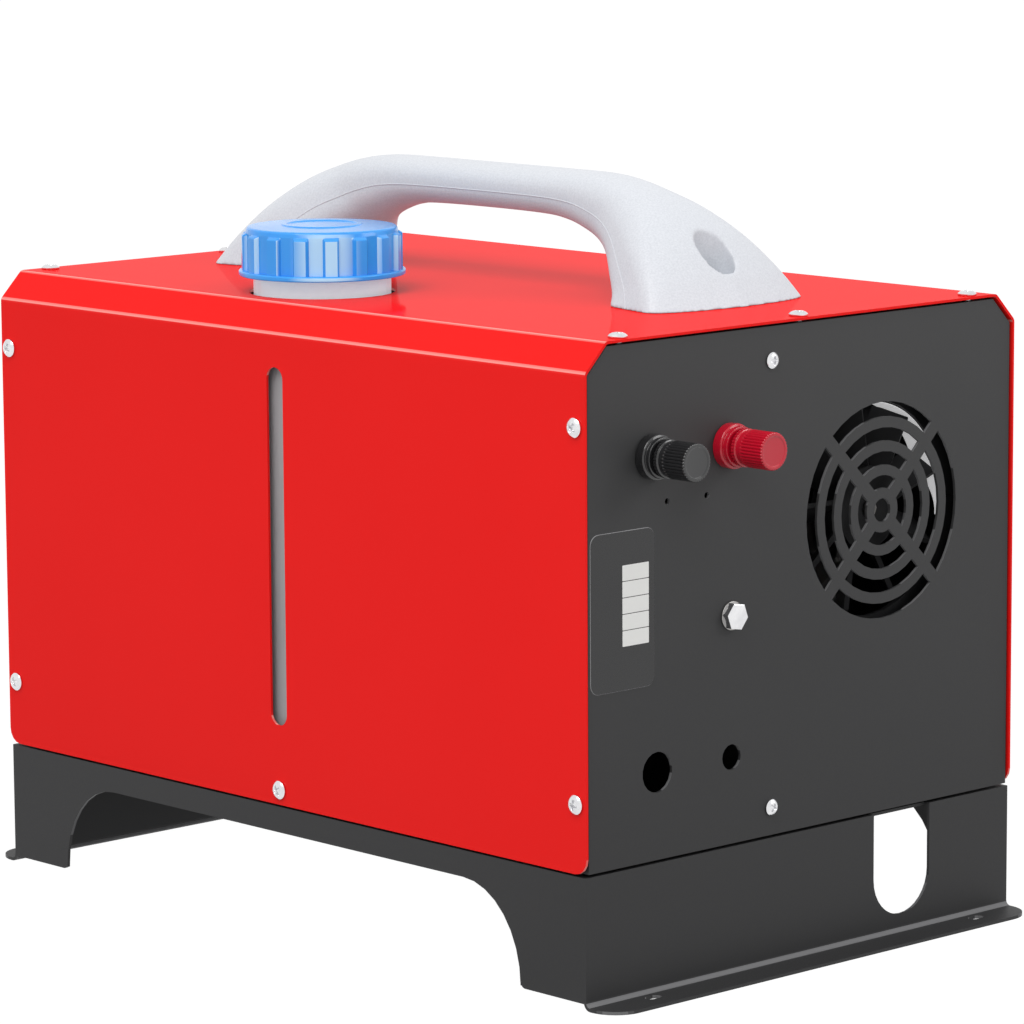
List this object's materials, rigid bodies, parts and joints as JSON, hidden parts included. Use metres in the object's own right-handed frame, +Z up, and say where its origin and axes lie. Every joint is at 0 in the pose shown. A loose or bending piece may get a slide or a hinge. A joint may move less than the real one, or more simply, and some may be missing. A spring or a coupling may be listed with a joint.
{
  "type": "diesel air heater",
  "caption": "Portable diesel air heater in a red sheet cover on an arched stand, with carrying handle, fuel tank with screw cap, intake grille, terminals and swivelling hot-air outlet.",
  "frame": {"origin": "on the ground under the middle of the case", "axes": "+Z up, +Y towards the rear panel with the intake grille, -Y towards the hot-air outlet, +X towards the side with the fuel sight slot"},
  "size_m": [0.2884, 0.4758, 0.357],
  "materials": {
    "red_paint": "satin powder coat, bright red",
    "black_paint": "fine-textured powder coat, dark grey",
    "grey_plastic": "satin, very light grey",
    "milky_plastic": "translucent milky white",
    "blue_plastic": "translucent blue",
    "black_plastic": "moulded black",
    "gloss_black": "polished black",
    "red_plastic": "translucent crimson",
    "nickel": "bright nickel plate",
    "cast_aluminium": "sand-cast",
    "steel": "plain steel",
    "rubber": "moulded black rubber",
    "board": "lacquered circuit board",
    "fuel_hose": "blue nylon line",
    "screen": "dark polished window"
  },
  "bodies": {
    "case": {"cover": "red_paint", "rear_panel": "black_paint", "front_panel": "black_paint", "stand": "black_paint", "partition": "black_paint", "handle": "grey_plastic", "fuel_tank": "milky_plastic", "fuel_filter": "milky_plastic", "fuel_pump": "steel", "pump_mount": "rubber", "fuel_line_tank": "fuel_hose", "fuel_line_filter": "fuel_hose", "fuel_line_heater": "fuel_hose", "heater_lower_shell": "black_plastic", "heater_upper_shell": "black_plastic", "heat_exchanger": "cast_aluminium", "burner_tube": "steel", "glow_plug": "nickel", "blower_motor": "steel", "control_board": "black_plastic", "heater_gasket": "rubber", "heater_bracket": "steel", "outlet_collar": "black_plastic", "controller_housing": "gloss_black", "controller_window": "screen", "controller_board": "board", "mount_bolt": "nickel", "panel_screw_upper": "nickel", "panel_screw_lower": "nickel", "handle_screw_front": "nickel", "handle_screw_rear": "nickel", "cover_screw_left_rear_upper": "nickel", "cover_screw_left_rear_lower": "nickel", "cover_screw_left_front_upper": "nickel", "cover_screw_left_front_lower": "nickel", "cover_screw_right_rear_upper": "nickel", "cover_screw_right_rear_lower": "nickel", "cover_screw_right_front_upper": "nickel", "cover_screw_right_front_lower": "nickel", "post_base_black": "gloss_black", "post_stud_black": "nickel", "post_base_red": "red_plastic", "post_stud_red": "nickel"},
    "cap_lift": {"cap_gasket": "rubber"},
    "cap": {"fuel_cap": "blue_plastic"},
    "rotor": {"motor_shaft": "steel", "hot_air_fan": "black_plastic", "combustion_impeller": "cast_aluminium"},
    "swivel": {"outlet_swivel": "black_plastic"},
    "blade_upper": {"louvre_upper": "black_plastic"},
    "blade_middle": {"louvre_middle": "black_plastic"},
    "blade_lower": {"louvre_lower": "black_plastic"},
    "sleeve_black": {"post_sleeve_black": "nickel"},
    "terminal_black": {"post_cap_black": "gloss_black"},
    "sleeve_red": {"post_sleeve_red": "nickel"},
    "terminal_red": {"post_cap_red": "red_plastic"},
    "key_left_upper": {"button_left_upper": "black_plastic"},
    "key_left_lower": {"button_left_lower": "black_plastic"},
    "key_right_upper": {"button_right_upper": "black_plastic"},
    "key_right_lower": {"button_right_lower": "black_plastic"}
  },
  "joints": [
    {"name": "cap_rise", "type": "slide", "parent": "case", "child": "cap_lift", "axis": [0, 0, 1], "range_m": [0, 0.018]},
    {"name": "cap_turn", "type": "hinge", "parent": "cap_lift", "child": "cap", "pos_m": [0.0852, -0.03, 0.313], "axis": [0, 0, 1], "range_deg": [0, 1080]},
    {"name": "rotor_spin", "type": "hinge", "parent": "case", "child": "rotor", "pos_m": [-0.051, 0.19, 0.205], "axis": [0, 1, 0], "continuous": true},
    {"name": "outlet_turn", "type": "hinge", "parent": "case", "child": "swivel", "pos_m": [-0.051, -0.225, 0.205], "axis": [0, -1, 0], "continuous": true},
    {"name": "middle_blade_tilt", "type": "hinge", "parent": "swivel", "child": "blade_middle", "pos_m": [-0.051, -0.2268, 0.205], "axis": [1, 0, 0], "range_deg": [-35, 35]},
    {"name": "upper_blade_tilt", "type": "hinge", "parent": "swivel", "child": "blade_upper", "pos_m": [-0.051, -0.2268, 0.227], "axis": [1, 0, 0], "range_deg": [-35, 35]},
    {"name": "lower_blade_tilt", "type": "hinge", "parent": "swivel", "child": "blade_lower", "pos_m": [-0.051, -0.2268, 0.183], "axis": [1, 0, 0], "range_deg": [-35, 35]},
    {"name": "black_sleeve_rise", "type": "slide", "parent": "case", "child": "sleeve_black", "axis": [0, 1, 0], "range_m": [0, 0.0048]},
    {"name": "black_cap_turn", "type": "hinge", "parent": "sleeve_black", "child": "terminal_black", "pos_m": [0.0998, 0.22, 0.246], "axis": [0, 1, 0], "range_deg": [0, 2160]},
    {"name": "red_sleeve_rise", "type": "slide", "parent": "case", "child": "sleeve_red", "axis": [0, 1, 0], "range_m": [0, 0.0048]},
    {"name": "red_cap_turn", "type": "hinge", "parent": "sleeve_red", "child": "terminal_red", "pos_m": [0.051, 0.22, 0.246], "axis": [0, 1, 0], "range_deg": [0, 2160]},
    {"name": "press_left_upper", "type": "slide", "parent": "case", "child": "key_left_upper", "axis": [0, 1, 0], "range_m": [0, 0.0012], "stiffness_N_per_m": 300},
    {"name": "press_left_lower", "type": "slide", "parent": "case", "child": "key_left_lower", "axis": [0, 1, 0], "range_m": [0, 0.0012], "stiffness_N_per_m": 300},
    {"name": "press_right_upper", "type": "slide", "parent": "case", "child": "key_right_upper", "axis": [0, 1, 0], "range_m": [0, 0.0012], "stiffness_N_per_m": 300},
    {"name": "press_right_lower", "type": "slide", "parent": "case", "child": "key_right_lower", "axis": [0, 1, 0], "range_m": [0, 0.0012], "stiffness_N_per_m": 300}
  ],
  "couplings": [
    {"joint": "cap_turn", "follows": "cap_rise", "rad_per_m": 1047.1},
    {"joint": "upper_blade_tilt", "follows": "middle_blade_tilt", "ratio": 1},
    {"joint": "lower_blade_tilt", "follows": "middle_blade_tilt", "ratio": 1},
    {"joint": "black_cap_turn", "follows": "black_sleeve_rise", "rad_per_m": 7853},
    {"joint": "red_cap_turn", "follows": "red_sleeve_rise", "rad_per_m": 7853}
  ]
}
